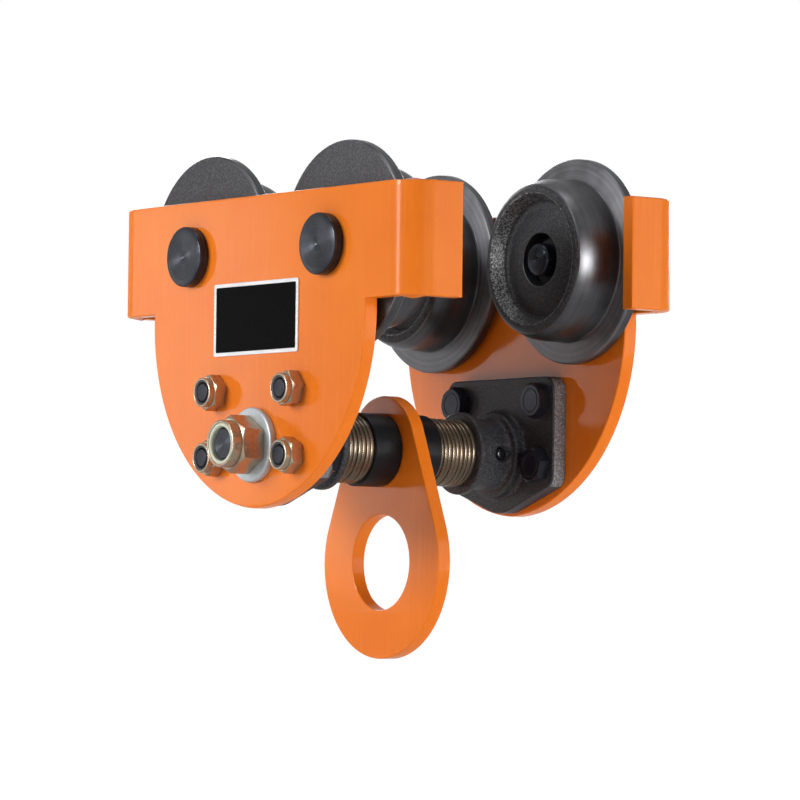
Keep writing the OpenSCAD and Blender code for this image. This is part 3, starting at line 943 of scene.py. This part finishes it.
def join_rings(bm, uv, rings, count, lift):
    """Joins the first count rings to the ones after them.

    The UV map holds the turn in u and the ring's number times lift in v.
    """
    steps = len(rings[0])
    for j in range(count):
        following = rings[(j + 1) % len(rings)]
        for i in range(steps):
            k = (i + 1) % steps
            face = bm.faces.new((rings[j][i], rings[j][k], following[k], following[i]))
            corners = ((i, j), (i + 1, j), (i + 1, j + 1), (i, j + 1))
            for loop, (turn, along) in zip(face.loops, corners):
                loop[uv].uv = (turn / steps, along * lift)


def thread_into(bm, x, z, start, end, side, thread, steps):
    """Adds a threaded rod end from start to end, chamfered and closed at its outer end."""
    uv = bm.loops.layers.uv.verify()
    rows_per_turn = 8
    rows = max(rows_per_turn, int((end - start) / thread.pitch * rows_per_turn))
    blunt = thread.radius - thread.chamfer
    rings = []
    for j in range(rows + 1):
        along = start + (end - start) * j / rows
        ring = []
        for i in range(steps):
            phase = (along / thread.pitch + i / steps) % 1
            groove = abs(2 * phase - 1)
            limit = blunt + (end - along)
            r = min(thread.radius - thread.depth * groove, max(limit, blunt))
            turn = 2 * math.pi * i / steps
            ring.append(bm.verts.new((x + r * math.sin(turn), side * along, z + r * math.cos(turn))))
        rings.append(ring)
    for r, sink in ((blunt - 0.6 * MM, 0), (0.45 * thread.radius, 0.15 * MM), (0.02 * MM, 0.35 * MM)):
        turns = (2 * math.pi * i / steps for i in range(steps))
        y = side * (end - sink)
        rings.append([bm.verts.new((x + r * math.sin(t), y, z + r * math.cos(t))) for t in turns])
    join_rings(bm, uv, rings, len(rings) - 1, lift=0.02)


def hexagon_into(bm, x, z, station, side, flats, height, hollow, turn):
    """Adds a hexagon from station outwards, turned by turn degrees and chamfered at its outer end.

    hollow is the radius of its round hole, or 0.
    """
    uv = bm.loops.layers.uv.verify()
    steps = 96
    apothem = flats / 2
    chamfer_inset = 0.25 * MM
    ring_radius = apothem - chamfer_inset
    slope = math.tan(math.radians(30))

    def reach_at(i):
        within = (360 * i / steps) % 60
        return apothem / math.cos(math.radians(30 - within))

    def ring(radius_at, height_at):
        made = []
        for i in range(steps):
            a = math.radians(360 * i / steps + turn)
            r = radius_at(i)
            y = side * (station + height_at(i))
            made.append(bm.verts.new((x + r * math.sin(a), y, z + r * math.cos(a))))
        return made

    def drop(i):
        return (reach_at(i) - ring_radius) * slope

    core = max(hollow, 0.01 * MM)
    rings = [
        ring(lambda i: core, lambda i: 0.0),
        ring(reach_at, lambda i: 0.0),
        ring(reach_at, lambda i: height - drop(i)),
        ring(lambda i: ring_radius, lambda i: height),
        ring(lambda i: core, lambda i: height),
    ]
    count = len(rings) if hollow > 0 else len(rings) - 1
    join_rings(bm, uv, rings, count, lift=1)


def bevelled(piece, width):
    """Rounds the sharp edges of a piece a little."""
    modifier = piece.modifiers.new("edges", "BEVEL")
    modifier.width = width
    modifier.segments = 2
    modifier.limit_method = "ANGLE"
    modifier.angle_limit = math.radians(35)


def nut_collar(flats):
    """The outer radius and the wall of the collar that holds a nut's nylon ring."""
    return flats * NUT_COLLAR, max(NUT_LEAST_WALL, flats * NUT_WALL)


def lock_nut_into(bm, x, z, station, side, flats, height, thread, turn):
    """Adds a self-locking nut: a hexagon, and the collar that is rolled in over the nylon ring."""
    bore = thread.radius + NUT_GAP
    foot = height * NUT_INSERT_FOOT
    hexagon_into(bm, x, z, station, side, flats, height * NUT_HEXAGON, bore, turn)
    out, wall = nut_collar(flats)
    seat = out - wall
    collar = rounded(
        [
            (bore, 0.6 * MM, 0, 0),
            (out, 0.6 * MM, 0, 0),
            (out, height * NUT_COLLAR_TOP, 0, 0),
            (out, height - 0.1 * MM, wall * 1.1, 0),
            (seat - 0.4 * MM, height, 0.5 * MM, 0),
            (seat - 0.5 * MM, height - 1.0 * MM, 0.2 * MM, 0),
            (seat, height - 1.1 * MM, 0, 0),
            (seat, foot, 0, 0),
            (bore, foot, 0, 0),
        ],
        steps=4,
    )
    turn_into(bm, collar, x, z, station, side, steps=64)


def insert_profile(flats, height, thread):
    """The outline of the nylon ring in a nut."""
    bore = thread.radius + NUT_GAP
    foot = height * NUT_INSERT_FOOT
    out, wall = nut_collar(flats)
    seat = out - wall
    return rounded(
        [
            (bore, foot, 0, 0),
            (seat, foot, 0, 0),
            (seat, height - 1.1 * MM, 0, 0),
            (seat - 0.7 * MM, height - 0.5 * MM, 0.3 * MM, 0),
            (thread.radius + 0.6 * MM, height - 0.6 * MM, 0.4 * MM, 0),
            (bore, height - 1.2 * MM, 0.2 * MM, 0),
        ],
        steps=3,
    )


def bolt_head_dish():
    """The outline of the shallow dish and its rim in a bolt's head."""
    return rounded(
        [
            (0.01 * MM, -0.5 * MM, 0, 0),
            (5.6 * MM, -0.5 * MM, 0.4 * MM, 0),
            (6.2 * MM, 0.25 * MM, 0.3 * MM, 0),
            (7.4 * MM, 0.25 * MM, 0.3 * MM, 0),
            (7.8 * MM, -1.0 * MM, 0, 0),
            (0.01 * MM, -1.0 * MM, 0, 0),
        ],
        steps=2,
    )


def hub_fasteners(side):
    """The four bolts, nuts and nylon rings of one hub, each kind as one piece."""
    tail = side_name(side)
    head_near, bolt_end = reach(f"hub_bolts_{tail}")
    head_far = PLATE_INNER - HUB_FLANGE
    thread_start = head_far - 1 * MM
    nut_height = reach(f"hub_nuts_{tail}")[1] - PLATE_OUTER
    insert = insert_profile(BOLT_FLATS, nut_height, BOLT_THREAD)
    bolts = bmesh.new()
    nuts = bmesh.new()
    rings = bmesh.new()
    for (column, row), angle in BOLT_TURNS.items():
        x = column * BOLT_X
        z = BOLT_ROWS[row]
        head = head_far - head_near
        hexagon_into(bolts, x, z, -head_far, -side, BOLT_FLATS, head, hollow=0, turn=angle + HEAD_TURN)
        turn_into(bolts, bolt_head_dish(), x, z, -head_near, -side, steps=48)
        thread_into(bolts, x, z, thread_start, bolt_end, side, BOLT_THREAD, steps=40)
        lock_nut_into(nuts, x, z, PLATE_OUTER, side, BOLT_FLATS, nut_height, BOLT_THREAD, angle * side)
        turn_into(rings, insert, x, z, PLATE_OUTER, side, steps=40)
    for bm, kind, slot, material, edge in (
        (bolts, "hub_bolts", "dark_steel", BOLT, 0.25 * MM),
        (nuts, "hub_nuts", "yellow_zinc", GOLD, 0.25 * MM),
        (rings, "hub_nut_inserts", "dark_nylon", DARK_NYLON, 0),
    ):
        node = f"{kind}_{tail}"
        mesh = close(bm, node)
        soften(mesh, 28)
        piece = add_piece(mesh, f"{node}_set", "frame", [material], [node])
        if edge:
            bevelled(piece, edge)


def end_fasteners(side):
    """The washer, the self-locking nut and its nylon ring at one end of the crossbar."""
    tail = side_name(side)
    washer = f"end_washer_{tail}"
    near, far = reach(washer)
    radius = radius_of(washer)
    bore = END_THREAD.radius + 0.5 * MM
    disc = rounded(
        [
            (bore, 0, 0.3 * MM, 0),
            (radius, 0, 0.5 * MM, 0),
            (radius, far - near, 1.3 * MM, 0),
            (bore, far - near, 0.4 * MM, 0),
        ],
        steps=5,
    )
    turned(f"{washer}_plated", "frame", "bright_zinc", [ZINC], disc, 0, SHAFT_Z, near, side, [washer])
    nut = f"end_nut_{tail}"
    height = reach(nut)[1] - far
    bm = bmesh.new()
    lock_nut_into(bm, 0, SHAFT_Z, far, side, END_FLATS, height, END_THREAD, turn=0)
    mesh = close(bm, nut)
    soften(mesh, 28)
    piece = add_piece(mesh, f"{nut}_plated", "frame", [GOLD], [nut])
    bevelled(piece, 0.35 * MM)
    insert = f"end_nut_insert_{tail}"
    ring = insert_profile(END_FLATS, height, END_THREAD)
    place = (0, SHAFT_Z, far, side)
    turned(f"{insert}_ring", "frame", "cream_nylon", [NYLON], ring, *place, [insert], steps=72)


# Crossbar, washers and collars

def crossbar():
    """The turned bar, with a threaded end outside each plate."""
    shoulder = PLATE_OUTER - 0.5 * MM
    end = reach("crossbar")[1]
    bm = bmesh.new()
    shaft = rounded(
        [
            (END_THREAD.radius, -shoulder, 0, 0),
            (SHAFT_RADIUS, -shoulder, 0.8 * MM, 0),
            (SHAFT_RADIUS, shoulder, 0.8 * MM, 0),
            (END_THREAD.radius, shoulder, 0, 0),
        ],
        steps=3,
    )
    turn_into(bm, shaft, 0, SHAFT_Z, station=0, side=1, steps=96)
    for side in (-1, 1):
        thread_into(bm, 0, SHAFT_Z, shoulder, end, side, END_THREAD, steps=64)
    mesh = close(bm, "crossbar")
    soften(mesh, 35)
    add_piece(mesh, "crossbar_turned", "frame", [PIN], ["crossbar"])


def washer_stack(side):
    """A stack of washers, each a little out of line with the next."""
    node = f"adjusting_washers_{side_name(side)}"
    near, far = reach(node)
    radius = radius_of(node)
    count = round((far - near) / WASHER_THICKNESS)
    thickness = WASHER_THICKNESS - WASHER_GAP
    bm = bmesh.new()
    for i in range(count):
        x = WASHER_DRIFT * math.sin(2.4 * i)
        z = SHAFT_Z + WASHER_DRIFT * math.cos(3.1 * i)
        outer = radius - WASHER_DRIFT * (1.2 + 0.8 * math.sin(5.3 * i))
        profile = rounded(
            [
                (SHAFT_HOLE, 0, 0, 0),
                (outer, 0, 0.9 * MM, 0),
                (outer, thickness, 0.9 * MM, 0),
                (SHAFT_HOLE, thickness, 0, 0),
            ],
            steps=4,
        )
        turn_into(bm, profile, x, z, near + i * WASHER_THICKNESS, side, steps=96)
    mesh = close(bm, node)
    soften(mesh, 40)
    add_piece(mesh, f"{node}_stack", "frame", [STACK], [node])


def collar(side):
    """The spacer collar on one side of the eye plate."""
    node = f"collar_{side_name(side)}"
    low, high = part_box(node)
    radius = radius_of(node)
    length = high.y - low.y
    profile = rounded(
        [
            (SHAFT_HOLE, 0, 0.4 * MM, 0),
            (radius, 0, 0.7 * MM, 0),
            (radius, length, 0.7 * MM, 0),
            (SHAFT_HOLE, length, 0.4 * MM, 0),
        ],
        steps=4,
    )
    place = (0, SHAFT_Z, low.y, 1)
    turned(f"{node}_tube", "frame", "black_steel", [COLLAR], profile, *place, [node], steps=128)


# Eye plate

def eye_plate():
    """The hanging plate: two round ends of different size, joined by straight sides that touch both."""
    low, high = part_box("eye_plate")
    bottom_radius = radius_of("eye_plate")
    drop = SHAFT_Z - low.z - bottom_radius
    lean = math.degrees(math.asin((bottom_radius - EYE_TOP_RADIUS) / drop))
    outline = arc(0, SHAFT_Z, EYE_TOP_RADIUS, lean, 180 - lean, 48)
    outline += arc(0, SHAFT_Z - drop, bottom_radius, 180 - lean, 360 + lean, 96)
    holes = [hole(0, SHAFT_Z, EYE_SHAFT_HOLE), hole(0, SHAFT_Z - drop, EYE_HOLE, count=96)]
    bm = flat_plate("eye_plate", [outline, *holes], high.y - low.y, EYE_EDGE)
    for vertex in bm.verts:
        vertex.co.y += (low.y + high.y) / 2
    mesh = close(bm, "eye_plate")
    soften(mesh, 50)
    add_piece(mesh, "eye_plate_painted", "eye", [PAINT], ["eye_plate"], weighted=True)


# Hubs and lock screws

def hub(side):
    """The hub's CAD shape, softened at every edge and corner as on a casting. Its flange's sideways faces
    are lighter grey: partly bare cast, partly a painted highlight of the side light.
    """
    node = f"hub_{side_name(side)}"
    mesh = nodes[node].data.copy()
    mesh.name = node
    mesh.materials.clear()
    piece = add_piece(mesh, f"{node}_cast", "frame", [HUB, HUB_SIDE_BARE_HIGHLIT], [node])
    remesh = piece.modifiers.new("cast skin", "REMESH")
    remesh.mode = "VOXEL"
    remesh.voxel_size = HUB_VOXEL
    smooth = piece.modifiers.new("soft edges", "SMOOTH")
    smooth.factor = 0.5
    smooth.iterations = 5
    bpy.context.view_layer.update()
    cast = bpy.data.meshes.new_from_object(piece.evaluated_get(bpy.context.evaluated_depsgraph_get()))
    piece.modifiers.clear()
    piece.data = cast
    # Sideways-facing flange faces take the lighter material: bare cast skin, and a painted highlight of the
    # light from the side
    for polygon in cast.polygons:
        on_flange = abs(polygon.center.y) > PLATE_INNER - HUB_SIDE_DEPTH
        faces_sideways = abs(polygon.normal.x) > LEAST_SIDEWAYS
        polygon.material_index = int(on_flange and faces_sideways)
    cast.shade_smooth()


def lock_screw(side):
    """A hub's lock screw, turned along Y and laid along X."""
    node = f"lock_screw_{side_name(side)}"
    low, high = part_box(node)
    middle = (low + high) / 2
    radius = (high.z - low.z) / 2
    length = high.x - low.x
    profile = rounded(
        [
            (0, 0, 0, 0),
            (radius - 1.4 * MM, 0, 0.3 * MM, 0),
            (radius - 1.2 * MM, 1.7 * MM, 0.2 * MM, 0),
            (radius, 2.0 * MM, 0.3 * MM, 0),
            (radius, length - 2.2 * MM, 1.2 * MM, 0),
            (radius * 0.72, length - 0.5 * MM, 1.4 * MM, 0),
            (0, length, 0, 0),
        ],
        steps=6,
    )
    bm = bmesh.new()
    turn_into(bm, profile, 0, 0, station=0, side=1, steps=48)
    for vertex in bm.verts:
        x, y, z = vertex.co
        vertex.co = (low.x + y, middle.y + x, middle.z + z)
    mesh = close(bm, node)
    soften(mesh, 40)
    add_piece(mesh, f"{node}_domed", "frame", [SCREW], [node])


for each in (-1, 1):
    side_plate(each)
    hub(each)
    lock_screw(each)
    hub_fasteners(each)
    end_fasteners(each)
    washer_stack(each)
    collar(each)
wheels()
axles()
crossbar()
label()
eye_plate()

# The bearings, retaining rings and spacers keep their CAD shape, in nearly black steel that paints the shade
# inside the wheels' centre holes
for node in nodes.values():
    if not node.hide_render:
        node.data.materials.clear()
        node.data.materials.append(HOLE_SHADE_STEEL)
        soften(node.data, 30)


# Floor, lamps and world

def floor():
    """A pale floor well below the hanging trolley. It keeps the shadow, and turns white further away."""
    m = Recipe("floor")
    grain = m.noise(m.place(), scale=30, detail=3)
    path = m.node("ShaderNodeLightPath")
    pale = m.mix(grain, rgb(0.90, 0.90, 0.90), rgb(0.93, 0.93, 0.93))
    # In reflections the floor shows dark grey instead of its pale colour: painted shade that keeps its
    # reflection dim
    m.set(Base_Color=m.mix(path.outputs["Is Glossy Ray"], pale, rgb(0.3, 0.3, 0.3)), Roughness=0.8)
    from_middle = {0: m.coords.outputs["Object"]}
    away = m.node("ShaderNodeVectorMath", from_middle, operation="LENGTH").outputs["Value"]
    seen = m.math("MAXIMUM", path.outputs["Is Camera Ray"], path.outputs["Is Glossy Ray"])
    seen = m.math("MAXIMUM", seen, path.outputs["Is Transmission Ray"])
    near_glow = m.spread(path.outputs["Is Glossy Ray"], 0, 1, NEAR_GLOW, NEAR_GLOSSY_GLOW)
    glow = m.spread(away, GLOW_NEAR, GLOW_FAR, near_glow, 1.0)
    m.set(Emission_Color=rgb(1, 1, 1), Emission_Strength=m.math("MULTIPLY", seen, glow))
    m.set(Specular_IOR_Level=0.0)
    bm = bmesh.new()
    bmesh.ops.create_grid(bm, x_segments=8, y_segments=8, size=FLOOR_SIZE)
    mesh = bpy.data.meshes.new("floor")
    bm.to_mesh(mesh)
    bm.free()
    mesh.materials.append(m.material)
    plane = bpy.data.objects.new("floor", mesh)
    plane.location.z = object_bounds()[0].z - FLOOR_DROP
    scene.collection.objects.link(plane)
    plane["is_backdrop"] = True


def softbox(name, azimuth, elevation, size, power, distance=2.2, matt=True, glossy=True, only=None):
    """An area lamp aimed at the trolley. Azimuth and elevation are those of a camera in its place.

    matt and glossy tell whether it lights matt surfaces and whether it is seen in reflections.
    only holds the starts of the names of the pieces it lights, where it doesn't light them all.
    """
    turn = math.radians(azimuth)
    rise = math.radians(elevation)
    level = math.cos(rise)
    outward = Vector((math.sin(turn) * level, -math.cos(turn) * level, math.sin(rise)))
    data = bpy.data.lights.new(name, "AREA")
    data.shape = "RECTANGLE"
    data.size, data.size_y = size
    data.energy = power
    lamp = bpy.data.objects.new(name, data)
    lamp.location = LAMP_TARGET + outward * distance
    lamp.rotation_mode = "QUATERNION"
    lamp.rotation_quaternion = outward.to_track_quat("Z", "Y")
    lamp.visible_diffuse = matt
    lamp.visible_glossy = glossy
    scene.collection.objects.link(lamp)
    if only:
        lit = bpy.data.collections.new(f"{name}_lit")
        for piece in scene.objects:
            if piece.type == "MESH" and piece.name.startswith(only):
                lit.objects.link(piece)
        lamp.light_linking.receiver_collection = lit


def world():
    """White to the camera, and softer grey as fill and in reflections."""
    made = bpy.data.worlds.new("studio")
    made.use_nodes = True
    tree = made.node_tree
    background = tree.nodes["Background"]
    path = tree.nodes.new("ShaderNodeLightPath")
    seen = tree.nodes.new("ShaderNodeMath")
    seen.operation = "MAXIMUM"
    tree.links.new(path.outputs["Is Camera Ray"], seen.inputs[0])
    tree.links.new(path.outputs["Is Transmission Ray"], seen.inputs[1])
    strength = tree.nodes.new("ShaderNodeMapRange")
    tree.links.new(seen.outputs[0], strength.inputs["Value"])
    glossy = tree.nodes.new("ShaderNodeMapRange")
    tree.links.new(path.outputs["Is Glossy Ray"], glossy.inputs["Value"])
    glossy.inputs["To Min"].default_value = FILL
    glossy.inputs["To Max"].default_value = GLOSSY_FILL
    tree.links.new(glossy.outputs["Result"], strength.inputs["To Min"])
    strength.inputs["To Max"].default_value = 1.0
    tree.links.new(strength.outputs["Result"], background.inputs["Strength"])
    background.inputs["Color"].default_value = rgb(1, 1, 1)
    scene.world = made


# Most lamps give either matt light or reflections, so that each of the two can be placed by itself
floor()
softbox("key", azimuth=-20, elevation=17, size=(1.1, 0.9), power=34.5, glossy=False)
softbox("glint", azimuth=-12, elevation=17, size=(0.5, 0.5), power=31, matt=False)
softbox("line", azimuth=-12, elevation=3, size=(0.5, 1.1), power=12, matt=False)
softbox("veil", azimuth=-55.2, elevation=3.2, size=(0.22, 0.4), power=0.75, distance=2, matt=False)
softbox("side", azimuth=97, elevation=-4, size=(1.25, 1.2), power=32, distance=2, glossy=False)
softbox("sheen", azimuth=93, elevation=-9, size=(0.8, 1.3), power=72, distance=2, matt=False, only=SHEEN_ON)
softbox("far", azimuth=128, elevation=4, size=(0.9, 1.0), power=4.5, distance=2, matt=False)
softbox("back", azimuth=205, elevation=16, size=(0.8, 0.8), power=32, distance=2.4)
softbox("left", azimuth=-112, elevation=24, size=(0.8, 0.8), power=16)
softbox("top", azimuth=20, elevation=84, size=(0.8, 0.8), power=7)
world()
scene.view_settings.view_transform = "Standard"
